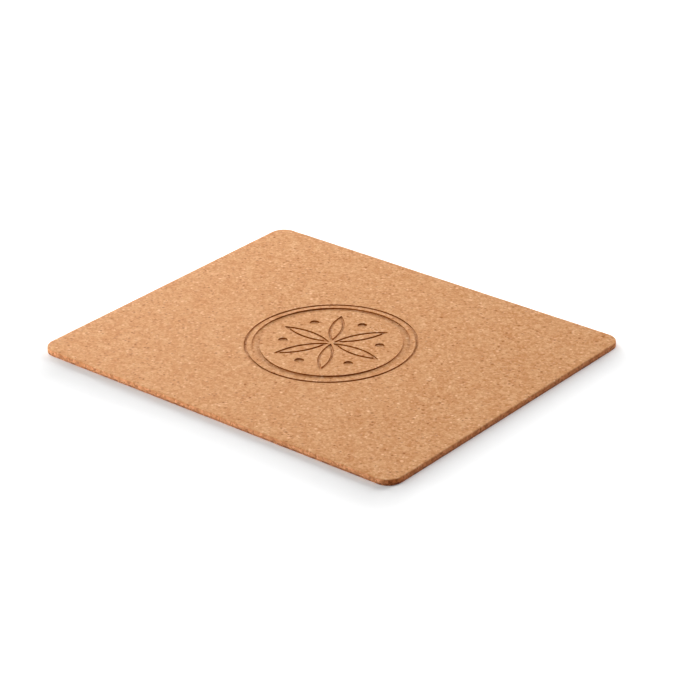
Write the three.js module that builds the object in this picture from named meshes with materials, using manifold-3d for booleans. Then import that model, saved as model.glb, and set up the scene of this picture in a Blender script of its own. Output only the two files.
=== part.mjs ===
// A cork mouse pad: a fine cork face sheet, bonded by an adhesive film to a rubber-cork grip base.
// The three layers are die-cut together, so they share one outline.
// Millimetres, +Z up. The origin is the middle of the underside, and X runs along the long side.

import * as THREE from 'three';
import { mergeVertices } from 'three/addons/utils/BufferGeometryUtils.js';
import Module from 'manifold-3d';

const wasm = await Module();
wasm.setup();

// Outline that the die cuts through every layer
const padLength = 220;
const padWidth = 180;
const cornerRadius = 8;

// Thickness of each layer, from the desk upwards
const baseThickness = 0.9;
const filmThickness = 0.1;
const corkThickness = 2;

// Round-over of the two outer rims: sanding eases the upper one, the die's pressure the lower one
const upperRimEasing = 0.4;
const lowerRimEasing = 0.15;

// Facets: a corner arc has twice as many as its setting, a rim's round-over exactly as many
const cornerCurveSegments = 8;
const rimSegments = 4;

// How far the block that trims a sheet square overshoots it on its free sides
const trimOvershoot = 1;

// Heights of the bond lines
const filmBottom = baseThickness;
const corkBottom = filmBottom + filmThickness;

// Finishes
const corkFinish = new THREE.MeshStandardMaterial({ color: 0xd69f73, roughness: 0.85, metalness: 0 });
const filmFinish = new THREE.MeshStandardMaterial({ color: 0xb4804e, roughness: 0.4, metalness: 0 });
const baseFinish = new THREE.MeshStandardMaterial({ color: 0xb87f55, roughness: 0.9, metalness: 0 });

function padOutline() {
  const x = padLength / 2 - cornerRadius;
  const y = padWidth / 2 - cornerRadius;
  const quarterTurn = Math.PI / 2;
  const cornerCentres = [[x, y], [-x, y], [-x, -y], [x, -y]];
  const outline = new THREE.Shape();
  cornerCentres.forEach(([centreX, centreY], corner) => {
    const start = corner * quarterTurn;
    outline.absarc(centreX, centreY, cornerRadius, start, start + quarterTurn, false);
  });
  outline.closePath();
  return outline;
}

function toSolid(geometry) {
  const bare = geometry.clone();
  bare.deleteAttribute('normal');
  bare.deleteAttribute('uv');
  const merged = mergeVertices(bare);
  return new wasm.Manifold(new wasm.Mesh({
    numProp: 3,
    vertProperties: new Float32Array(merged.attributes.position.array),
    triVerts: new Uint32Array(merged.index.array),
  }));
}

function toGeometry(solid) {
  const mesh = solid.getMesh();
  const geometry = new THREE.BufferGeometry();
  geometry.setAttribute('position', new THREE.BufferAttribute(mesh.vertProperties, 3));
  geometry.setIndex(new THREE.BufferAttribute(mesh.triVerts, 1));
  geometry.computeVertexNormals();
  return geometry;
}

// A sheet with square rims, standing on the given height
function squareSheet(bottom, thickness) {
  const sheet = new THREE.ExtrudeGeometry(padOutline(), {
    depth: thickness,
    bevelEnabled: false,
    curveSegments: cornerCurveSegments,
  });
  return sheet.translate(0, 0, bottom);
}

// A sheet with one rim rounded over. A thicker blank is rounded at both rims, and the end that is
// bonded to the next layer is then trimmed off square.
function easedSheet({ bottom, thickness, easing, easedRim }) {
  const spare = 2 * easing;
  const blank = new THREE.ExtrudeGeometry(padOutline(), {
    depth: thickness,
    bevelThickness: easing,
    bevelSize: easing,
    bevelOffset: -easing,
    bevelSegments: rimSegments,
    curveSegments: cornerCurveSegments,
  });
  const trimHeight = spare + trimOvershoot;
  const trim = new THREE.BoxGeometry(padLength + 2 * trimOvershoot, padWidth + 2 * trimOvershoot, trimHeight);
  if (easedRim === 'upper') {
    blank.translate(0, 0, bottom + easing - spare);
    trim.translate(0, 0, bottom - trimHeight / 2);
  } else {
    blank.translate(0, 0, bottom + easing);
    trim.translate(0, 0, bottom + thickness + trimHeight / 2);
  }
  return toGeometry(toSolid(blank).subtract(toSolid(trim)));
}

function gripBase() {
  const geometry = easedSheet({
    bottom: 0,
    thickness: baseThickness,
    easing: lowerRimEasing,
    easedRim: 'lower',
  });
  const mesh = new THREE.Mesh(geometry, baseFinish);
  mesh.name = 'grip_base';
  return mesh;
}

function adhesiveFilm() {
  const mesh = new THREE.Mesh(squareSheet(filmBottom, filmThickness), filmFinish);
  mesh.name = 'adhesive_film';
  return mesh;
}

function corkFaceSheet() {
  const geometry = easedSheet({
    bottom: corkBottom,
    thickness: corkThickness,
    easing: upperRimEasing,
    easedRim: 'upper',
  });
  const mesh = new THREE.Mesh(geometry, corkFinish);
  mesh.name = 'cork_face_sheet';
  return mesh;
}

const mousePad = new THREE.Group();
mousePad.add(gripBase(), adhesiveFilm(), corkFaceSheet());

export default mousePad;
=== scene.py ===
# %% [markdown]
# # A cork mouse pad, layer by layer
# The real pad is a sandwich: a sheet of fine pressed cork on top, a film of adhesive, and a thin
# rubber-cork sheet that grips the desk. One die cuts through all three, so they share an outline.
# This lesson dresses the three plain solids of the frame: it grows each sheet with Geometry Nodes,
# presses an ornament into the face, and gives every layer a finish made of nodes alone.

# %% Load the frame
import math

import bpy
from mathutils import Matrix, Vector


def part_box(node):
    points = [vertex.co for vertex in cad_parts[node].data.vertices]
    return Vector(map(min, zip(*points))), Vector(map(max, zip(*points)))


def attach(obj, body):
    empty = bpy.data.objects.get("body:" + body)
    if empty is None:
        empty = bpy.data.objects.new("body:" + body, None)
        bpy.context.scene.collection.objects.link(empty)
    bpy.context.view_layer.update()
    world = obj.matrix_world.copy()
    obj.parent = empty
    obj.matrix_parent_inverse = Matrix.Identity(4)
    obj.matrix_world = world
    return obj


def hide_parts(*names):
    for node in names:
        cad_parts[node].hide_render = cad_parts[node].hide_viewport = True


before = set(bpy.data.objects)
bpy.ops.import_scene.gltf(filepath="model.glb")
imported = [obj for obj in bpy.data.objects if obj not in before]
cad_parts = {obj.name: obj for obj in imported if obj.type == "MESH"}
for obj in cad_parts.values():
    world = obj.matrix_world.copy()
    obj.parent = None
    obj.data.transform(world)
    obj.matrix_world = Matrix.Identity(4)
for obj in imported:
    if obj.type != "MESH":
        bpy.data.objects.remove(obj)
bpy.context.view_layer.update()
MM = 0.001

# %% [markdown]
# ## Camera
# The photograph looks down on one corner of the pad through a long lens. A camera could be aimed by
# eye, but a flat rectangle shows every degree, so its place is given as an azimuth, an elevation, a
# distance and a small roll, and the camera's axes are worked out from those four values.

# %% Place the camera
VIEW_AZIMUTH = math.radians(40.16)
VIEW_ELEVATION = math.radians(26.79)
VIEW_ROLL = math.radians(-1.16)
VIEW_DISTANCE = 1.266
VIEW_TARGET = Vector((8.67, 3.92, 0)) * MM
VIEW_LENS = 133.5
SENSOR_WIDTH = 36


def place_camera():
    """A camera that looks at the target from the given side, height and distance."""
    camera = bpy.data.objects.new("camera", bpy.data.cameras.new("camera"))
    bpy.context.scene.collection.objects.link(camera)
    flat = math.cos(VIEW_ELEVATION)
    back = Vector((math.sin(VIEW_AZIMUTH) * flat, -math.cos(VIEW_AZIMUTH) * flat,
                   math.sin(VIEW_ELEVATION)))
    level = Vector((math.cos(VIEW_AZIMUTH), math.sin(VIEW_AZIMUTH), 0))
    right = Matrix.Rotation(VIEW_ROLL, 3, back) @ level
    up = back.cross(right)
    turn = Matrix((right, up, back)).transposed().to_4x4()
    camera.matrix_world = Matrix.Translation(VIEW_TARGET + back * VIEW_DISTANCE) @ turn
    camera.data.sensor_width = SENSOR_WIDTH
    camera.data.lens = VIEW_LENS
    bpy.context.scene.camera = camera
    return camera


camera = place_camera()
print("camera at", [round(c, 3) for c in camera.matrix_world.translation], "m")

# %% [markdown]
# ## Helpers for node trees
# Shapes and finishes below are all node trees. They could be wired by hand in an editor, but a script
# can be read from top to bottom and run again. These helpers keep it short: they add a node and wire
# its inputs, do one step of arithmetic, and build a vector or split it.

# %% Node helpers


def add_node(tree, kind, inputs=None, **settings):
    """Add a node: settings are its own properties, inputs are plain values or other nodes' sockets."""
    node = tree.nodes.new(kind)
    for name, value in settings.items():
        setattr(node, name, value)
    for key, value in (inputs or {}).items():
        if isinstance(value, bpy.types.NodeSocket):
            tree.links.new(value, node.inputs[key])
        else:
            node.inputs[key].default_value = value
    return node


def calculate(tree, operation, *terms):
    """One arithmetic step on numbers."""
    return add_node(tree, "ShaderNodeMath", dict(enumerate(terms)), operation=operation).outputs[0]


def vector_step(tree, operation, *terms):
    """One arithmetic step on vectors. Scaling takes the factor as its second term."""
    inputs = dict(enumerate(terms))
    if operation == "SCALE":
        inputs = {0: terms[0], "Scale": terms[1]}
    node = add_node(tree, "ShaderNodeVectorMath", inputs, operation=operation)
    return node.outputs["Value" if operation == "LENGTH" else "Vector"]


def vector(tree, **parts):
    """A vector built from any of its parts X, Y and Z."""
    return add_node(tree, "ShaderNodeCombineXYZ", parts).outputs[0]


def split(tree, whole):
    """The parts X, Y and Z of a vector or a colour."""
    return add_node(tree, "ShaderNodeSeparateXYZ", {0: whole}).outputs


def soft_step(tree, value, start, end):
    """0 up to start, 1 from end on, and a smooth slope between them. Start may lie above end."""
    ramp = add_node(tree, "ShaderNodeMapRange", {"Value": value, "From Min": start, "From Max": end},
                    interpolation_type="SMOOTHSTEP")
    return ramp.outputs["Result"]


def between(tree, value, low, high):
    """A number from 0 to 1, spread over the range from low to high."""
    spread = add_node(tree, "ShaderNodeMapRange", {"Value": value, "To Min": low, "To Max": high})
    return spread.outputs["Result"]


print("node helpers ready")

# %% [markdown]
# ## From a tree to a mesh
# A Geometry Nodes tree could stay live on its piece, but the export needs plain meshes. So each tree
# has named inputs for its sizes and ends in real geometry with one material. A new object runs it as
# a modifier, keeps what it makes as its own mesh, and drops the modifier.

# %% Start, end and run a tree


def start_tree(name, inputs):
    """A new Geometry Nodes tree with named inputs and one geometry output."""
    tree = bpy.data.node_groups.new(name, "GeometryNodeTree")
    for label, kind in inputs.items():
        tree.interface.new_socket(label, in_out="INPUT", socket_type="NodeSocket" + kind)
    tree.interface.new_socket("Geometry", in_out="OUTPUT", socket_type="NodeSocketGeometry")
    given = tree.nodes.new("NodeGroupInput").outputs
    return tree, given


def finish_tree(tree, geometry, material):
    """Every tree ends alike: real geometry, one material, one output."""
    real = add_node(tree, "GeometryNodeRealizeInstances", {"Geometry": geometry}).outputs[0]
    dressed = add_node(tree, "GeometryNodeSetMaterial", {"Geometry": real, "Material": material})
    output = tree.nodes.new("NodeGroupOutput")
    tree.links.new(dressed.outputs[0], output.inputs["Geometry"])


def keep_mesh(piece):
    """Turn what a piece's modifiers make into its own plain mesh, without empty material slots."""
    evaluated = piece.evaluated_get(bpy.context.evaluated_depsgraph_get())
    mesh = bpy.data.meshes.new_from_object(evaluated)
    if mesh.materials[0] is None:
        mesh.materials.pop(index=0)
    piece.modifiers.clear()
    piece.data = mesh


def grow(tree, name, sizes):
    """Run a tree with the given sizes and keep what it makes as an object with a plain mesh."""
    piece = bpy.data.objects.new(name, bpy.data.meshes.new(name))
    bpy.context.scene.collection.objects.link(piece)
    modifier = piece.modifiers.new(tree.name, "NODES")
    modifier.node_group = tree
    for socket in tree.interface.items_tree:
        if socket.in_out == "INPUT" and socket.name in sizes:
            modifier[socket.identifier] = sizes[socket.name]
    keep_mesh(piece)
    return piece


def tell(piece):
    """Print how large a finished piece is, and how fine its mesh."""
    piece.data.calc_loop_triangles()
    size = [round(side / MM, 2) for side in piece.dimensions]
    print(f"{piece.name}: {size} mm, {len(piece.data.loop_triangles)} triangles")


print("tree helpers ready")

# %% [markdown]
# ## Cork granules
# Pressed cork is a jam of small bark granules, each with its own tone, sanded flat together. A
# Voronoi texture gives just that: space cut into cells, each with a random number of its own. Noise
# bends the cells out of their crystal look. The same few nodes work in a shape and in a finish, so
# on the cork sheet the relief of the mesh and the colours fall on the same granules.

# %% Granules as nodes
GRANULE_SIZE = 1.3 * MM
WARP_SIZE = 1.6 * MM
WARP_DETAIL = 2.0
WARP_REACH = 0.5 * MM


def noise(tree, place, spread, detail):
    """Soft random blotches about one spread across. More detail adds finer ones."""
    return add_node(tree, "ShaderNodeTexNoise",
                    {"Vector": place, "Scale": 1 / spread, "Detail": detail}).outputs


def granules(tree, place, size=GRANULE_SIZE):
    """The warped place, and each granule's own random number and the distance to its seam."""
    wander = noise(tree, place, WARP_SIZE, WARP_DETAIL)["Color"]
    centred = vector_step(tree, "SUBTRACT", wander, (0.5, 0.5, 0.5))
    bent = vector_step(tree, "ADD", place, vector_step(tree, "SCALE", centred, WARP_REACH))
    cells = add_node(tree, "ShaderNodeTexVoronoi", {"Vector": bent, "Scale": 1 / size})
    seams = add_node(tree, "ShaderNodeTexVoronoi", {"Vector": bent, "Scale": 1 / size},
                     feature="DISTANCE_TO_EDGE")
    number = split(tree, cells.outputs["Color"])["X"]
    return bent, number, seams.outputs["Distance"]


print("granules of", GRANULE_SIZE / MM, "mm")

# %% [markdown]
# ## The face of a sheet
# All the layers are rounded rectangles with a fine face, so one Geometry Nodes tree grows them all.
# A filled outline would have the right edge, but no points inside that the granules could move. So
# the face starts as a grid. Its points are jittered, because straight rows would show in the relief,
# and its square corners are pulled on to arcs.

# %% A grid with rounded corners
GRID_JITTER = 0.3
SHORTEST_SPAN = 1e-9


def rounded_corners(tree, place, skeleton):
    """Pull the points beyond the skeleton rectangle from a square corner onto an arc round it."""
    flat = vector_step(tree, "MULTIPLY", place, (1, 1, 0))
    size = vector_step(tree, "ABSOLUTE", flat)
    core = vector_step(tree, "MINIMUM", size, skeleton)
    over = vector_step(tree, "SUBTRACT", size, core)
    parts = split(tree, over)
    reach = calculate(tree, "MAXIMUM", parts["X"], parts["Y"])
    span = calculate(tree, "MAXIMUM", vector_step(tree, "LENGTH", over), SHORTEST_SPAN)
    pulled = vector_step(tree, "SCALE", over, calculate(tree, "DIVIDE", reach, span))
    arc = vector_step(tree, "ADD", core, pulled)
    return vector_step(tree, "MULTIPLY", arc, vector_step(tree, "SIGN", flat))


def inside_border(tree, given, place, length, width):
    """1 for the grid's inner points and 0 for those of its border, which keep their places."""
    border = calculate(tree, "MULTIPLY", given["Grid"], 0.5)
    parts = split(tree, place)
    inside = 1.0
    for part, side in ((parts["X"], length), (parts["Y"], width)):
        room = calculate(tree, "SUBTRACT", calculate(tree, "MULTIPLY", side, 0.5), border)
        within = calculate(tree, "LESS_THAN", calculate(tree, "ABSOLUTE", part), room)
        inside = calculate(tree, "MULTIPLY", inside, within)
    return inside


def face_grid(tree, given, skeleton):
    """A jittered grid with rounded corners: the face of the sheet inside its eased rim."""
    sides = []
    rims = calculate(tree, "MULTIPLY", given["Rim"], 2.0)
    for label in ("Length", "Width"):
        side = calculate(tree, "SUBTRACT", given[label], rims)
        count = calculate(tree, "ROUND", calculate(tree, "DIVIDE", side, given["Grid"]))
        sides.append((side, calculate(tree, "ADD", count, 1.0)))
    (length, across), (width, along) = sides
    grid = add_node(tree, "GeometryNodeMeshGrid",
                    {"Size X": length, "Size Y": width, "Vertices X": across, "Vertices Y": along})
    place = add_node(tree, "GeometryNodeInputPosition").outputs[0]
    chance = add_node(tree, "FunctionNodeRandomValue",
                      {"Min": (-1, -1, 0), "Max": (1, 1, 0), "Seed": given["Seed"]},
                      data_type="FLOAT_VECTOR")
    shift = calculate(tree, "MULTIPLY", calculate(tree, "MULTIPLY", given["Grid"], GRID_JITTER),
                      inside_border(tree, given, place, length, width))
    jittered = vector_step(tree, "ADD", place, vector_step(tree, "SCALE", chance.outputs[0], shift))
    rounded = rounded_corners(tree, jittered, skeleton)
    return add_node(tree, "GeometryNodeSetPosition",
                    {"Geometry": grid.outputs["Mesh"], "Position": rounded}).outputs[0]


print("grid points move by up to", GRID_JITTER, "of a step")

# %% [markdown]
# ## Rim, wall and bonded side
# Sanding eases the free rim of a sheet, and the die leaves its wall straight. A Bevel modifier could
# round the rim afterwards. Here the border is extruded step by step along the profile instead, a
# quarter round first and then straight down, which also gives the wall rows of points for the
# relief. One flat polygon closes the bonded side.

# %% Extrude the border and close it
RIM_STEPS = 3
WALL_STEPS = 4
WELD_DISTANCE = 0.001 * MM


def outward(tree, place, skeleton):
    """The level direction from the skeleton rectangle to a point on the border."""
    flat = vector_step(tree, "MULTIPLY", place, (1, 1, 0))
    core = vector_step(tree, "MINIMUM", vector_step(tree, "ABSOLUTE", flat), skeleton)
    signed = vector_step(tree, "MULTIPLY", core, vector_step(tree, "SIGN", flat))
    return vector_step(tree, "NORMALIZE", vector_step(tree, "SUBTRACT", flat, signed))


def border_edges(tree):
    """The edges with a face on one side only."""
    faces = add_node(tree, "GeometryNodeInputMeshEdgeNeighbors").outputs[0]
    alone = add_node(tree, "FunctionNodeCompare", {"A": faces, "B": 1},
                     data_type="INT", operation="EQUAL")
    return alone.outputs[0]


def extrude_border(tree, mesh, out, down, direction, edges):
    """One step along the rim's profile: the border edges move out and down."""
    drop = vector(tree, Z=calculate(tree, "MULTIPLY", down, -1.0))
    offset = vector_step(tree, "ADD", vector_step(tree, "SCALE", direction, out), drop)
    step = add_node(tree, "GeometryNodeExtrudeMesh",
                    {"Mesh": mesh, "Selection": edges, "Offset": offset, "Offset Scale": 1.0},
                    mode="EDGES")
    return step.outputs["Mesh"], step.outputs["Top"]


def rim_and_wall(tree, given, mesh, skeleton):
    """Extrude the border round the eased rim and down the wall."""
    place = add_node(tree, "GeometryNodeInputPosition").outputs[0]
    direction = outward(tree, place, skeleton)
    edges = border_edges(tree)
    turn = math.pi / 2 / RIM_STEPS
    for step in range(RIM_STEPS):
        out = math.sin((step + 1) * turn) - math.sin(step * turn)
        down = math.cos(step * turn) - math.cos((step + 1) * turn)
        mesh, edges = extrude_border(tree, mesh, calculate(tree, "MULTIPLY", given["Rim"], out),
                                     calculate(tree, "MULTIPLY", given["Rim"], down), direction, edges)
    wall = calculate(tree, "SUBTRACT", given["Thickness"], given["Rim"])
    for step in range(WALL_STEPS):
        mesh, edges = extrude_border(tree, mesh, 0.0, calculate(tree, "DIVIDE", wall, WALL_STEPS),
                                     direction, edges)
    return mesh


def moved(tree, geometry, offset):
    """Geometry shifted by an offset."""
    return add_node(tree, "GeometryNodeTransform",
                    {"Geometry": geometry, "Translation": offset}).outputs[0]


def joined(tree, *meshes):
    """Several meshes as one."""
    join = tree.nodes.new("GeometryNodeJoinGeometry")
    for mesh in meshes:
        tree.links.new(mesh, join.inputs[0])
    return join.outputs[0]


def closed_below(tree, given, mesh):
    """Fill the open border with one flat polygon that faces down."""
    border = border_edges(tree)
    loop = add_node(tree, "GeometryNodeMeshToCurve", {"Mesh": mesh, "Selection": border}).outputs[0]
    lid = add_node(tree, "GeometryNodeFillCurve", {"Curve": loop}, mode="NGONS").outputs[0]
    depth = calculate(tree, "MULTIPLY", given["Thickness"], -1.0)
    lowered = moved(tree, lid, vector(tree, Z=depth))
    turned = add_node(tree, "GeometryNodeFlipFaces", {"Mesh": lowered}).outputs[0]
    whole = joined(tree, mesh, turned)
    return add_node(tree, "GeometryNodeMergeByDistance",
                    {"Geometry": whole, "Distance": WELD_DISTANCE}).outputs[0]


print("a rim of", RIM_STEPS, "steps and a wall of", WALL_STEPS)

# %% [markdown]
# ## Relief, and the whole tree
# Sanded cork isn't quite flat, and along the cut wall the granules stand out and sink. So the granules
# push the face and the wall in by their own amounts, always inwards, so that the sheet keeps the size
# of its solid. The bonded side stays flat. A bump map could fake this, but not along the outline.

# %% The sheet tree
BOND_CLEARANCE = 0.01 * MM


def placed(tree, given, mesh):
    """Lift the face to its height. A tilt of half a turn makes it look down at the desk."""
    lift = vector(tree, Z=given["Face Height"])
    turn = vector(tree, X=given["Tilt"])
    return add_node(tree, "GeometryNodeTransform",
                    {"Geometry": mesh, "Translation": lift, "Rotation": turn}).outputs[0]


def relief(tree, given, mesh):
    """Sink the face and the wall, granule by granule. The bonded side stays flat."""
    place = add_node(tree, "GeometryNodeInputPosition").outputs[0]
    normal = add_node(tree, "GeometryNodeInputNormal").outputs[0]
    number = granules(tree, place)[1]
    drop = calculate(tree, "MULTIPLY", given["Thickness"], calculate(tree, "COSINE", given["Tilt"]))
    bond = calculate(tree, "SUBTRACT", given["Face Height"], drop)
    height = split(tree, place)["Z"]
    away = calculate(tree, "ABSOLUTE", calculate(tree, "SUBTRACT", height, bond))
    clear = calculate(tree, "GREATER_THAN", away, BOND_CLEARANCE)
    sunk = calculate(tree, "MULTIPLY", number, given["Face Relief"])
    face = calculate(tree, "MULTIPLY", sunk, clear)
    wall = calculate(tree, "MULTIPLY", number, given["Wall Relief"])
    amounts = vector(tree, X=wall, Y=wall, Z=face)
    inwards = vector_step(tree, "SCALE", vector_step(tree, "MULTIPLY", normal, amounts), -1.0)
    return add_node(tree, "GeometryNodeSetPosition", {"Geometry": mesh, "Offset": inwards}).outputs[0]


def build_sheet_tree():
    """The tree that every layer is grown by."""
    tree, given = start_tree("bonded_sheet", {
        "Length": "Float", "Width": "Float", "Corner": "Float", "Thickness": "Float", "Rim": "Float",
        "Grid": "Float", "Face Relief": "Float", "Wall Relief": "Float", "Seed": "Int",
        "Face Height": "Float", "Tilt": "Float", "Material": "Material"})
    halves = []
    for label in ("Length", "Width"):
        half = calculate(tree, "MULTIPLY", given[label], 0.5)
        halves.append(calculate(tree, "SUBTRACT", half, given["Corner"]))
    skeleton = vector(tree, X=halves[0], Y=halves[1])
    mesh = face_grid(tree, given, skeleton)
    mesh = rim_and_wall(tree, given, mesh, skeleton)
    mesh = closed_below(tree, given, mesh)
    mesh = relief(tree, given, placed(tree, given, mesh))
    finish_tree(tree, mesh, given["Material"])
    return tree


sheet_tree = build_sheet_tree()
print("sheet tree with", len(sheet_tree.nodes), "nodes")

# %% [markdown]
# ## Colours and their helpers
# The finishes are read off the photograph as screen colours. Nodes work in linear light, so one
# helper converts them by the standard screen curve. Others lay one colour over another, spread a
# palette over a number, and start a finish and join it to its shader.

# %% Colour helpers
CURVE_FOOT = 0.04045
FOOT_SLOPE = 12.92
CURVE_SHIFT = 0.055
CURVE_POWER = 2.4
# The mix node has sockets for several kinds of value, and these are the ones for colours.
MIX_AMOUNT = 0
MIX_UNDER = 6
MIX_OVER = 7
MIX_RESULT = 2


def linear(part):
    """One part of a screen colour, from 0 to 1, in linear light."""
    if part <= CURVE_FOOT:
        return part / FOOT_SLOPE
    return ((part + CURVE_SHIFT) / (1 + CURVE_SHIFT)) ** CURVE_POWER


def screen(red, green, blue):
    """A screen colour, each part from 0 to 255, as the linear colour that nodes use."""
    return (linear(red / 255), linear(green / 255), linear(blue / 255), 1.0)


def lay_over(tree, amount, under, over, mode="MIX"):
    """Lay one colour over another by an amount from 0 to 1."""
    mix = add_node(tree, "ShaderNodeMix", {MIX_AMOUNT: amount, MIX_UNDER: under, MIX_OVER: over},
                   data_type="RGBA", blend_type=mode)
    return mix.outputs[MIX_RESULT]


def palette(tree, number, tones):
    """Spread a list of colours evenly over the numbers from 0 to 1."""
    ramp = add_node(tree, "ShaderNodeValToRGB", {"Fac": number})
    stops = ramp.color_ramp.elements
    while len(stops) < len(tones):
        stops.new(0.5)
    for index, tone in enumerate(tones):
        stops[index].position = index / (len(tones) - 1)
        stops[index].color = tone
    return ramp.outputs["Color"]


def start_finish(name):
    """A new material with its shader, and the object's own coordinates."""
    material = bpy.data.materials.new(name)
    material.use_nodes = True
    tree = material.node_tree
    shader = tree.nodes["Principled BSDF"]
    place = add_node(tree, "ShaderNodeTexCoord").outputs["Object"]
    return material, tree, shader, place


def wire(tree, shader, colour, roughness, height, depth):
    """Join a finish to its shader: colour, roughness, and a bump of the given depth in metres."""
    bump = add_node(tree, "ShaderNodeBump", {"Height": height, "Distance": depth, "Strength": 1.0})
    tree.links.new(colour, shader.inputs["Base Color"])
    tree.links.new(roughness, shader.inputs["Roughness"])
    tree.links.new(bump.outputs["Normal"], shader.inputs["Normal"])


print("a mid cork tone in linear light:", [round(part, 3) for part in screen(214, 160, 116)])

# %% [markdown]
# ## Flecks
# Among the tan granules lie dark crumbs of outer bark and pale crumbs of younger cork. They are
# sparser than the granules, so they have a Voronoi pattern of their own: a soft spot round some of
# its points, each with its own radius and strength. The pattern is flat, as the sanded face is, so
# that no spot is cut off small where the face happens to pass it.

# %% Flecks as nodes
FLECK_SPACING = 2.1 * MM
FLECK_SHARE = 0.5
SMALLEST_FLECK = 0.4
FLECK_CORE = 0.1
FAINTEST_FLECK = 0.12
FLECK_RARITY = 4.0


def flecks(tree, place, largest):
    """Spots round a share of the points, up to the largest radius. Strong spots are rare."""
    cells = add_node(tree, "ShaderNodeTexVoronoi", {"Vector": place, "Scale": 1 / FLECK_SPACING},
                     voronoi_dimensions="2D")
    chance = split(tree, cells.outputs["Color"])
    chosen = calculate(tree, "LESS_THAN", chance["X"], FLECK_SHARE)
    radius = calculate(tree, "MULTIPLY", between(tree, chance["Y"], SMALLEST_FLECK, 1.0),
                       largest / FLECK_SPACING)
    core = calculate(tree, "MULTIPLY", radius, FLECK_CORE)
    spot = calculate(tree, "MULTIPLY", soft_step(tree, cells.outputs["Distance"], radius, core), chosen)
    rare = calculate(tree, "POWER", chance["Z"], FLECK_RARITY)
    return calculate(tree, "MULTIPLY", spot, between(tree, rare, FAINTEST_FLECK, 1.0))


print("flecks round", FLECK_SHARE, "of the points,", round(FLECK_SPACING / MM, 2), "mm apart")

# %% [markdown]
# ## The sanded face
# The face is a warm tan that changes on three scales, so its tone is a weighed sum: a random number
# for each granule, soft crumbs of about the same size, and broad clouds. The seams between granules
# are a little darker. One random colour for each granule would be simpler, but it looks like a
# mosaic.

# %% Tones of the sanded face
FACE_TONES = [screen(182, 109, 50), screen(198, 132, 77), screen(213, 155, 105), screen(229, 178, 133),
              screen(244, 201, 160)]
GRANULE_WEIGHT = 0.36
CRUMB_WEIGHT = 0.5
CRUMB_SPREAD = 1.1 * MM
CRUMB_DETAIL = 1.0
CLOUD_WEIGHT = 0.3
CLOUD_SPREAD = 5 * MM
CLOUD_DETAIL = 4.0
JOINT_WEIGHT = -0.1


def weighed(tree, start, *parts):
    """A starting number plus any count of other numbers, each times its weight."""
    total = start
    for value, weight in parts:
        total = calculate(tree, "MULTIPLY_ADD", value, weight, total)
    return total


def sanded_face(tree, place, number, joint):
    """The tan of the face, from the granules' numbers and the joints between them."""
    crumb = noise(tree, place, CRUMB_SPREAD, CRUMB_DETAIL)["Fac"]
    cloud = noise(tree, place, CLOUD_SPREAD, CLOUD_DETAIL)["Fac"]
    middle = 0.5 - (GRANULE_WEIGHT + CRUMB_WEIGHT + CLOUD_WEIGHT) / 2
    tone = weighed(tree, middle, (number, GRANULE_WEIGHT), (crumb, CRUMB_WEIGHT),
                   (cloud, CLOUD_WEIGHT), (joint, JOINT_WEIGHT))
    return palette(tree, tone, FACE_TONES)


print("face in", len(FACE_TONES), "tones")

# %% [markdown]
# ## Cut and pressed cork
# Where a blade has gone in, the cork is browner along the cut wall. The walls of the pressed
# ornament are painted a much darker brown: partly scorch from the hot stamp, and partly painted
# shade that darkens the lines. Those places could have materials of their own, but then the mesh
# would need to be split. Depth below the face tells them from the face, and the distance from the
# middle tells the ornament from the outer wall.

# %% Tones of the cut and pressed walls
FACE_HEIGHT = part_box("cork_face_sheet")[1].z
CUT_TONES = [screen(178, 121, 81), screen(205, 147, 102), screen(221, 163, 116), screen(238, 182, 136)]
CUT_FROM = 0.25 * MM
CUT_FULL = 0.55 * MM
ORNAMENT_REACH = 50 * MM
PRESS_DEPTH = 0.8 * MM
# The dark tones of the pressed walls are part scorch and part painted shade for the lines.
SCORCH_AND_SHADE_TONES = [screen(144, 81, 20), screen(174, 105, 34)]
SCORCH_AND_SHADE_FROM = 0.07 * MM
SCORCH_AND_SHADE_FULL = 0.14 * MM
SCORCH_AND_SHADE_FADES = PRESS_DEPTH - 0.06 * MM
SCORCH_AND_SHADE_ENDS = PRESS_DEPTH - 0.01 * MM


def below_face(tree, place):
    """How deep a point lies below the face, and whether it is in the ornament."""
    depth = calculate(tree, "SUBTRACT", FACE_HEIGHT, split(tree, place)["Z"])
    level = vector_step(tree, "MULTIPLY", place, (1, 1, 0))
    ornament = calculate(tree, "LESS_THAN", vector_step(tree, "LENGTH", level), ORNAMENT_REACH)
    return depth, ornament


def cut_and_pressed(tree, place, number, colour):
    """Lay the tones of the cut wall, and the scorch and painted shade of the pressed walls, over the
    face.
    """
    depth, ornament = below_face(tree, place)
    outer = calculate(tree, "SUBTRACT", 1.0, ornament)
    cut = calculate(tree, "MULTIPLY", soft_step(tree, depth, CUT_FROM, CUT_FULL), outer)
    colour = lay_over(tree, cut, colour, palette(tree, number, CUT_TONES))
    # Painted shade: the pressed walls, down to just above their floor, take the dark tones.
    wall = calculate(tree, "MULTIPLY", soft_step(tree, depth, SCORCH_AND_SHADE_FROM, SCORCH_AND_SHADE_FULL),
                     soft_step(tree, depth, SCORCH_AND_SHADE_ENDS, SCORCH_AND_SHADE_FADES))
    scorch_and_shade = calculate(tree, "MULTIPLY", wall, ornament)
    return lay_over(tree, scorch_and_shade, colour, palette(tree, number, SCORCH_AND_SHADE_TONES))


print("pressed walls from", round(SCORCH_AND_SHADE_FROM / MM, 2), "to", round(SCORCH_AND_SHADE_ENDS / MM, 2), "mm deep")

# %% [markdown]
# ## The fine cork finish
# The finish puts these parts together: the tan of the face, the pale and the dark flecks over it, and
# the browner walls over all, where the dark brown of the pressed walls is part scorch and part painted
# shade. Cork is matt and hardly reflects, and sanding leaves only a trace of relief, so the bump is
# very shallow.

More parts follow.
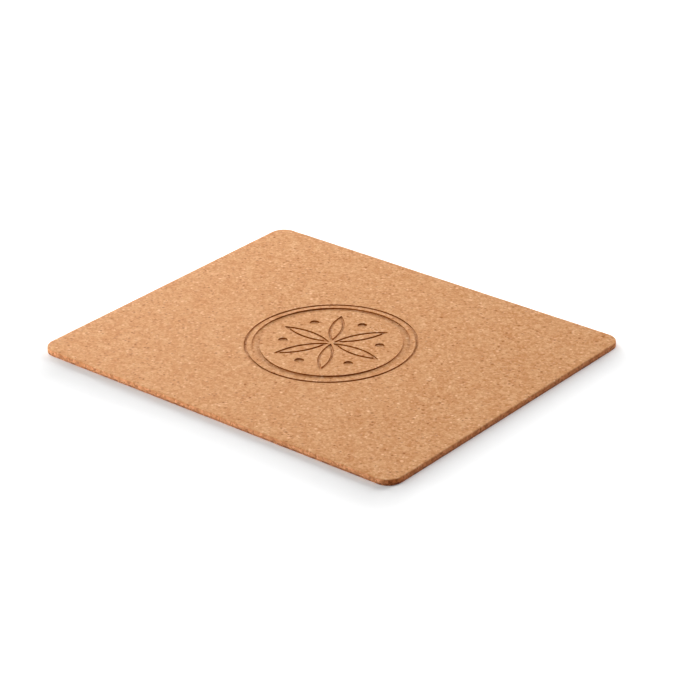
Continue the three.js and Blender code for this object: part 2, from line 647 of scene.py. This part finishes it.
# %% Fine cork
JOINT_WIDTH = 0.1
PALE_FLECK = screen(250, 208, 164)
PALE_LARGEST = 1.2 * MM
PALE_SHIFT = (0.5, 0.3, 0.2)
DARK_FLECK = screen(157, 81, 24)
DARK_LARGEST = 1.35 * MM
CORK_ROUGHNESS = (0.65, 0.85)
CORK_BUMP = 0.002 * MM
CORK_SPECULAR = 0.15


def fine_cork():
    """The finish of the cork sheet."""
    material, tree, shader, place = start_finish("fine_cork_finish")
    bent, number, seam = granules(tree, place)
    joint = soft_step(tree, seam, JOINT_WIDTH, 0.0)
    pale = flecks(tree, vector_step(tree, "ADD", bent, PALE_SHIFT), PALE_LARGEST)
    dark = flecks(tree, bent, DARK_LARGEST)
    colour = sanded_face(tree, place, number, joint)
    colour = lay_over(tree, pale, colour, PALE_FLECK)
    colour = lay_over(tree, dark, colour, DARK_FLECK)
    colour = cut_and_pressed(tree, place, number, colour)
    height = weighed(tree, 0.0, (number, 1.0), (joint, -1.0), (dark, -1.0))
    wire(tree, shader, colour, between(tree, number, *CORK_ROUGHNESS), height, CORK_BUMP)
    shader.inputs["Specular IOR Level"].default_value = CORK_SPECULAR
    return material


cork_finish = fine_cork()
print("fine cork finish with", len(cork_finish.node_tree.nodes), "nodes")

# %% [markdown]
# ## The rubber-cork finish
# The grip base is cork crumb bound with brown rubber: matt, mid brown, and speckled. The same granules
# serve again, a little larger. A random number decides which are cork, and the rubber fills the
# seams between them. A fine grain roughens both.

# %% Rubber cork
RUBBER = screen(140, 90, 58)
CRUMB_TONES = [screen(172, 114, 72), screen(194, 134, 90), screen(212, 154, 108)]
CRUMB_SIZE = 1.5 * MM
RUBBER_BELOW = 0.15
CORK_ABOVE = 0.25
RUBBER_SEAM = 0.1
GRAIN_SPREAD = 0.4 * MM
GRAIN_DETAIL = 4.0
GRAIN_SHADES = (0.7, 1.3)
BASE_ROUGHNESS = (0.7, 0.92)
BASE_BUMP = 0.05 * MM
BASE_SPECULAR = 0.35


def rubber_cork():
    """The finish of the grip base."""
    material, tree, shader, place = start_finish("rubber_cork_finish")
    bent, number, seam = granules(tree, place, CRUMB_SIZE)
    crumb = calculate(tree, "MULTIPLY", soft_step(tree, number, RUBBER_BELOW, CORK_ABOVE),
                      soft_step(tree, seam, 0.0, RUBBER_SEAM))
    grain = noise(tree, bent, GRAIN_SPREAD, GRAIN_DETAIL)["Fac"]
    colour = lay_over(tree, crumb, RUBBER, palette(tree, number, CRUMB_TONES))
    colour = lay_over(tree, 1.0, colour, between(tree, grain, *GRAIN_SHADES), "MULTIPLY")
    height = calculate(tree, "ADD", crumb, grain)
    wire(tree, shader, colour, between(tree, crumb, *BASE_ROUGHNESS), height, BASE_BUMP)
    shader.inputs["Specular IOR Level"].default_value = BASE_SPECULAR
    return material


base_finish = rubber_cork()
print("rubber cork finish with", len(base_finish.node_tree.nodes), "nodes")

# %% [markdown]
# ## The adhesive finish
# The film shows only as a hairline between the two sheets: amber, smoother than cork, and a little
# uneven where the die has dragged it. One noise for its tone, gloss and bump is enough at that width.

# %% Adhesive
ADHESIVE_TONES = [screen(160, 108, 62), screen(196, 144, 92)]
DRAG_SPREAD = 2 * MM
DRAG_DETAIL = 3.0
ADHESIVE_ROUGHNESS = (0.3, 0.55)
ADHESIVE_BUMP = 0.02 * MM


def amber_adhesive():
    """The finish of the adhesive film."""
    material, tree, shader, place = start_finish("amber_adhesive_finish")
    drag = noise(tree, place, DRAG_SPREAD, DRAG_DETAIL)["Fac"]
    colour = palette(tree, drag, ADHESIVE_TONES)
    wire(tree, shader, colour, between(tree, drag, *ADHESIVE_ROUGHNESS), drag, ADHESIVE_BUMP)
    return material


film_finish = amber_adhesive()
print("adhesive finish with", len(film_finish.node_tree.nodes), "nodes")

# %% [markdown]
# ## The three sheets
# Each layer takes its length, width, thickness and height from its solid in the frame. The face that
# shows gets the fine grid: the upper one on the cork, the lower one on the base, which is grown face
# up and then turned over. The film has no visible face, so its grid is coarse.

# %% Grow the sheets
CORNER_RADIUS = 8 * MM
UPPER_RIM = 0.4 * MM
LOWER_RIM = 0.15 * MM
FILM_RIM = 0.01 * MM
HALF_TURN = math.pi


def grow_layer(name, node, material, looks_down=False, **sizes):
    """Grow the sheet that stands for a node of the frame."""
    low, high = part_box(node)
    sizes = {label.replace("_", " "): value for label, value in sizes.items()}
    sizes.update({"Length": high.x - low.x, "Width": high.y - low.y, "Thickness": high.z - low.z,
                  "Corner": CORNER_RADIUS, "Face Height": low.z if looks_down else high.z,
                  "Tilt": HALF_TURN if looks_down else 0.0, "Material": material})
    sheet = grow(sheet_tree, name, sizes)
    tell(sheet)
    return sheet


cork_sheet = grow_layer("cork_sheet", "cork_face_sheet", cork_finish, Rim=UPPER_RIM, Grid=0.72 * MM,
                        Face_Relief=0.005 * MM, Wall_Relief=0.12 * MM, Seed=3)
film_sheet = grow_layer("glue_line", "adhesive_film", film_finish, Rim=FILM_RIM, Grid=10 * MM,
                        Face_Relief=0.0, Wall_Relief=0.0, Seed=5)
base_sheet = grow_layer("grip_sheet", "grip_base", base_finish, looks_down=True, Rim=LOWER_RIM,
                        Grid=1.1 * MM, Face_Relief=0.08 * MM, Wall_Relief=0.1 * MM, Seed=7)

# %% [markdown]
# ## The pressed ornament
# A heated stamp has sunk a six-petalled rosette into the face, the figure that anyone draws with a
# pair of compasses. The marks have real depth and steep walls, because the light on those walls is
# what makes the lines. A bump map would stay flat from the side, so the stamp is a solid. It starts
# with one petal: a fine line along two arcs, as a small mesh of four loops.

# %% One petal of the stamp
PETALS = 6
ROSETTE_RADIUS = 31 * MM
PETAL_LAND = 0.5 * MM
FINE_LINE = 1.5 * MM
WALL_DRAFT = math.tan(math.radians(10))
STAMP_RISE = 0.5 * MM
ARC_STEPS = 24


def petal_outline(inset, height):
    """Points round one petal: two arcs of the compass, drawn in by an inset."""
    radius = ROSETTE_RADIUS - inset
    rise = ROSETTE_RADIUS * math.sqrt(3) / 2
    half_sweep = math.acos(rise / radius)
    points = []
    for side in (1, -1):
        for step in range(ARC_STEPS):
            angle = side * half_sweep * (2 * step / ARC_STEPS - 1)
            across = side * (radius * math.cos(angle) - rise)
            points.append((ROSETTE_RADIUS / 2 + radius * math.sin(angle), across, height))
    return points


def make_petal():
    """A closed line round the petal, with sloping walls, from above the face to the pressed floor."""
    top = FACE_HEIGHT + STAMP_RISE
    floor = FACE_HEIGHT - PRESS_DEPTH
    inner = PETAL_LAND + FINE_LINE
    spread = STAMP_RISE * WALL_DRAFT
    narrowing = PRESS_DEPTH * WALL_DRAFT
    loops = [petal_outline(PETAL_LAND - spread, top), petal_outline(PETAL_LAND + narrowing, floor),
             petal_outline(inner - narrowing, floor), petal_outline(inner + spread, top)]
    count = len(loops[0])
    faces = []
    for loop in range(len(loops)):
        here = loop * count
        there = (loop + 1) % len(loops) * count
        for point in range(count):
            after = (point + 1) % count
            faces.append((here + after, there + after, there + point, here + point))
    mesh = bpy.data.meshes.new("stamp")
    mesh.from_pydata([point for loop in loops for point in loop], [], faces)
    petal = bpy.data.objects.new("stamp", mesh)
    bpy.context.scene.collection.objects.link(petal)
    return petal


stamp = make_petal()
print("petal", [round(side / MM, 2) for side in stamp.dimensions], "mm")

# %% [markdown]
# ## The whole stamp
# The petals, the dots between them and the two plain rings follow a rule, so Geometry Nodes lay them
# out: the petal and a dot are repeated round the middle, and each ring is a profile swept along a
# circle. Modelling each mark by hand would give the same shape, but not the named sizes.

# %% The stamp tree
RING_RADIUS = 37 * MM
BROAD_LINE = 4 * MM
BORDER_RADIUS = 42 * MM
DOT_RADIUS = 2.4 * MM
DOT_CIRCLE = 24 * MM
DOT_STEPS = 32
RING_STEPS = 180
FULL_TURN = 2 * math.pi
ON_PETALS = 0.0
BETWEEN_PETALS = 0.5


def repeated(tree, given, mark, offset):
    """A mark, repeated round the middle once for each petal, from an offset in steps."""
    places = add_node(tree, "GeometryNodePoints", {"Count": given["Petals"]}).outputs[0]
    index = add_node(tree, "GeometryNodeInputIndex").outputs[0]
    step = calculate(tree, "DIVIDE", FULL_TURN, given["Petals"])
    angle = calculate(tree, "MULTIPLY", calculate(tree, "ADD", index, offset), step)
    return add_node(tree, "GeometryNodeInstanceOnPoints",
                    {"Points": places, "Instance": mark, "Rotation": vector(tree, Z=angle)}).outputs[0]


def petals_round(tree, given):
    """The petal, repeated round the middle."""
    petal = add_node(tree, "GeometryNodeObjectInfo", {"Object": given["Petal"]}).outputs["Geometry"]
    return repeated(tree, given, petal, ON_PETALS)


def dots_round(tree, given):
    """A dot with a sloping wall between each two petals."""
    spread = calculate(tree, "MULTIPLY", given["Rise"], WALL_DRAFT)
    narrowing = calculate(tree, "MULTIPLY", given["Depth"], WALL_DRAFT)
    wide = calculate(tree, "ADD", given["Dot Radius"], spread)
    slim = calculate(tree, "SUBTRACT", given["Dot Radius"], narrowing)
    height = calculate(tree, "ADD", given["Rise"], given["Depth"])
    cone = add_node(tree, "GeometryNodeMeshCone", {"Vertices": DOT_STEPS, "Radius Top": wide,
                                                   "Radius Bottom": slim, "Depth": height})
    floor = calculate(tree, "SUBTRACT", given["Face Height"], given["Depth"])
    dot = moved(tree, cone.outputs["Mesh"], vector(tree, X=given["Dot Circle"], Z=floor))
    return repeated(tree, given, dot, BETWEEN_PETALS)


def ring(tree, given, radius, width):
    """A ring with sloping walls, from above the face down to the pressed floor."""
    path = add_node(tree, "GeometryNodeCurvePrimitiveCircle",
                    {"Resolution": RING_STEPS, "Radius": radius}).outputs[0]
    upright = add_node(tree, "GeometryNodeSetCurveNormal", {"Curve": path}, mode="Z_UP").outputs[0]
    spread = calculate(tree, "MULTIPLY", given["Rise"], 2 * WALL_DRAFT)
    narrowing = calculate(tree, "MULTIPLY", given["Depth"], -2 * WALL_DRAFT)
    profile = add_node(tree, "GeometryNodeCurvePrimitiveQuadrilateral",
                       {"Bottom Width": calculate(tree, "ADD", width, narrowing),
                        "Top Width": calculate(tree, "ADD", width, spread), "Offset": 0.0,
                        "Height": calculate(tree, "ADD", given["Rise"], given["Depth"])},
                       mode="TRAPEZOID").outputs[0]
    swept = add_node(tree, "GeometryNodeCurveToMesh",
                     {"Curve": upright, "Profile Curve": profile}).outputs[0]
    excess = calculate(tree, "SUBTRACT", given["Rise"], given["Depth"])
    middle = calculate(tree, "MULTIPLY", excess, 0.5)
    return moved(tree, swept, vector(tree, Z=calculate(tree, "ADD", middle, given["Face Height"])))


def build_stamp_tree():
    """The tree that lays out the marks of the stamp."""
    tree, given = start_tree("rosette_stamp", {
        "Petal": "Object", "Petals": "Int", "Dot Radius": "Float", "Dot Circle": "Float",
        "Ring Radius": "Float", "Ring Width": "Float", "Border Radius": "Float",
        "Border Width": "Float", "Rise": "Float", "Depth": "Float", "Face Height": "Float",
        "Material": "Material"})
    marks = [petals_round(tree, given), dots_round(tree, given)]
    for label in ("Ring", "Border"):
        marks.append(ring(tree, given, given[label + " Radius"], given[label + " Width"]))
    finish_tree(tree, joined(tree, *marks), given["Material"])
    return tree


stamp_tree = build_stamp_tree()
rosette = grow(stamp_tree, "rosette", {
    "Petal": stamp, "Petals": PETALS, "Dot Radius": DOT_RADIUS, "Dot Circle": DOT_CIRCLE,
    "Ring Radius": RING_RADIUS, "Ring Width": BROAD_LINE, "Border Radius": BORDER_RADIUS,
    "Border Width": FINE_LINE, "Rise": STAMP_RISE, "Depth": PRESS_DEPTH, "Face Height": FACE_HEIGHT,
    "Material": cork_finish})
tell(rosette)

# %% [markdown]
# ## Pressing
# Pressing could be done by pushing points of the face down, but a steep wall needs points right along
# its edge. A Boolean modifier makes them: it takes the stamp's shape out of the cork. The stamp has
# then done its work and goes. Shading is smooth over the granules and sharp at the edges.

# %% Press the stamp into the cork
SMOOTH_BELOW = math.radians(40)


def press(sheet, tool):
    """Take the tool's shape out of the sheet."""
    cut = sheet.modifiers.new("press", "BOOLEAN")
    cut.operation = "DIFFERENCE"
    cut.solver = "MANIFOLD"
    cut.object = tool
    keep_mesh(sheet)


press(cork_sheet, rosette)
for tool in (rosette, stamp):
    bpy.data.objects.remove(tool)
for sheet in (cork_sheet, film_sheet, base_sheet):
    sheet.data.shade_smooth()
    sheet.data.set_sharp_from_angle(angle=SMOOTH_BELOW)
tell(cork_sheet)

# %% [markdown]
# ## Floor
# The pad was photographed on white paper, with a soft shadow along its two near edges. The floor is
# one plain white sheet. Inside a rectangle round the shadow it shows as it is lit, and further out it
# fades into pure white, which only the camera and reflections see. On the left, where the lamps stand
# close, the paper is painted darker, a painted shade that keeps the shadow even along the front. To
# the light that bounces on to the pad it is a warm brown, so that the shaded wall stays dark and brown.

# %% White floor
FLOOR_HALF = 4.0
FLOOR_BOUNCE = (0.72, 0.35, 0.155, 1.0)
PAPER_WHITE = (1.0, 1.0, 1.0, 1.0)
PAPER_PAINTED_SHADE = (0.86, 0.86, 0.86, 1.0)
PAINTED_SHADE_BEFORE = -110 * MM
WHITE_AFTER = 40 * MM
SHADOW_LOW = (-85 * MM, -96 * MM, 0)
SHADOW_HIGH = (106.3 * MM, 67 * MM, 0)
WHITE_FROM = 67 * MM


def seen_directly(tree):
    """1 for what the camera sees, also in a reflection or through glass, and 0 for bounced light."""
    path = add_node(tree, "ShaderNodeLightPath").outputs
    mirrored = calculate(tree, "MAXIMUM", path["Is Glossy Ray"], path["Is Transmission Ray"])
    return calculate(tree, "MAXIMUM", path["Is Camera Ray"], mirrored)


def beyond_shadow(tree, place):
    """How far a point of the floor lies outside the rectangle in which the shadow shows in full."""
    below = vector_step(tree, "SUBTRACT", SHADOW_LOW, place)
    above = vector_step(tree, "SUBTRACT", place, SHADOW_HIGH)
    over = vector_step(tree, "MAXIMUM", below, above)
    return vector_step(tree, "LENGTH", vector_step(tree, "MAXIMUM", over, (0, 0, 0)))


def white_paper():
    """The finish of the floor."""
    material, tree, shader, place = start_finish("white_paper")
    shader.inputs["Roughness"].default_value = 1.0
    shader.inputs["Specular IOR Level"].default_value = 0.0
    seen = seen_directly(tree)
    # Painted shade: the paper is darker towards the left, where the close lamps light it more.
    whiteness = soft_step(tree, split(tree, place)["X"], PAINTED_SHADE_BEFORE, WHITE_AFTER)
    paper = lay_over(tree, whiteness, PAPER_PAINTED_SHADE, PAPER_WHITE)
    tree.links.new(lay_over(tree, seen, FLOOR_BOUNCE, paper), shader.inputs["Base Color"])
    far = soft_step(tree, beyond_shadow(tree, place), 0.0, WHITE_FROM)
    tree.links.new(calculate(tree, "MULTIPLY", seen, far), shader.inputs["Emission Strength"])
    return material


def lay_floor():
    """One large square, which isn't part of the object."""
    corners = [(-FLOOR_HALF, -FLOOR_HALF, 0), (FLOOR_HALF, -FLOOR_HALF, 0),
               (FLOOR_HALF, FLOOR_HALF, 0), (-FLOOR_HALF, FLOOR_HALF, 0)]
    mesh = bpy.data.meshes.new("floor")
    mesh.from_pydata(corners, [], [(0, 1, 2, 3)])
    mesh.materials.append(white_paper())
    floor = bpy.data.objects.new("floor", mesh)
    bpy.context.scene.collection.objects.link(floor)
    return floor


floor = lay_floor()
print("floor", [round(side, 1) for side in floor.dimensions], "m")

# %% [markdown]
# ## Light
# Five softboxes and a white room light the pad. A large, low one stands behind it, so that the shadow
# falls towards the camera. The key and a lower one stand close on the left: they make that side of
# the face the brightest, and shade the pressed lines. One hangs overhead, and a nearly level strip
# lights the near left wall. Each light's power follows from the share of the floor's brightness that
# it gives: at a total of about 1, a colour renders as it is written. The Standard view transform then
# leaves it so.

# %% Lights and the white room
AIM = Vector((0, 0, 0))
ROOM_SHARE = 0.05
ROOM_COLOUR = (1, 1, 1, 1)


def soft_light(name, azimuth, elevation, distance, width, height, share):
    """A rectangular softbox that faces the pad. Azimuth turns from +X towards +Y, in degrees."""
    turn = math.radians(azimuth)
    climb = math.radians(elevation)
    towards = Vector((math.cos(turn) * math.cos(climb), math.sin(turn) * math.cos(climb),
                      math.sin(climb)))
    lamp = bpy.data.lights.new(name, "AREA")
    lamp.shape = "RECTANGLE"
    lamp.size = width
    lamp.size_y = height
    lamp.energy = share * (math.pi * distance) ** 2 / math.sin(climb)
    light = bpy.data.objects.new(name, lamp)
    facing = towards.to_track_quat("Z", "Y").to_matrix().to_4x4()
    light.matrix_world = Matrix.Translation(AIM + towards * distance) @ facing
    light.visible_camera = False
    bpy.context.scene.collection.objects.link(light)
    print(f"{name}: {lamp.energy:.1f} W")


def white_room():
    """A world that lights by its share, and that camera and reflections see as white."""
    world = bpy.data.worlds.new("white_room")
    world.use_nodes = True
    tree = world.node_tree
    background = tree.nodes["Background"]
    strength = between(tree, seen_directly(tree), ROOM_SHARE, 1.0)
    tree.links.new(strength, background.inputs["Strength"])
    background.inputs["Color"].default_value = ROOM_COLOUR
    bpy.context.scene.world = world


soft_light("key_softbox", azimuth=212, elevation=55, distance=0.9, width=0.5, height=0.5, share=0.265)
soft_light("top_softbox", azimuth=250, elevation=84, distance=2.4, width=1.5, height=1.5, share=0.165)
soft_light("back_softbox", azimuth=80, elevation=20, distance=5.0, width=1.6, height=2.8, share=0.31)
soft_light("side_softbox", azimuth=152, elevation=22, distance=1.0, width=0.5, height=0.45, share=0.215)
soft_light("level_strip", azimuth=222, elevation=4, distance=1.2, width=0.62, height=0.14, share=0.058)
white_room()
bpy.context.scene.view_settings.view_transform = "Standard"

# %% [markdown]
# ## Tie the layers to the frame
# Nothing on the pad moves, so the row has one body. Each sheet rides on it, and the solid that it
# stands for is hidden.

# %% Ride on the body and hide the solids
LAYERS = ((cork_sheet, "cork_face_sheet", "fine_cork"),
          (film_sheet, "adhesive_film", "adhesive"),
          (base_sheet, "grip_base", "rubber_cork"))
for sheet, node, slot in LAYERS:
    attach(sheet, "root")
    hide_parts(node)
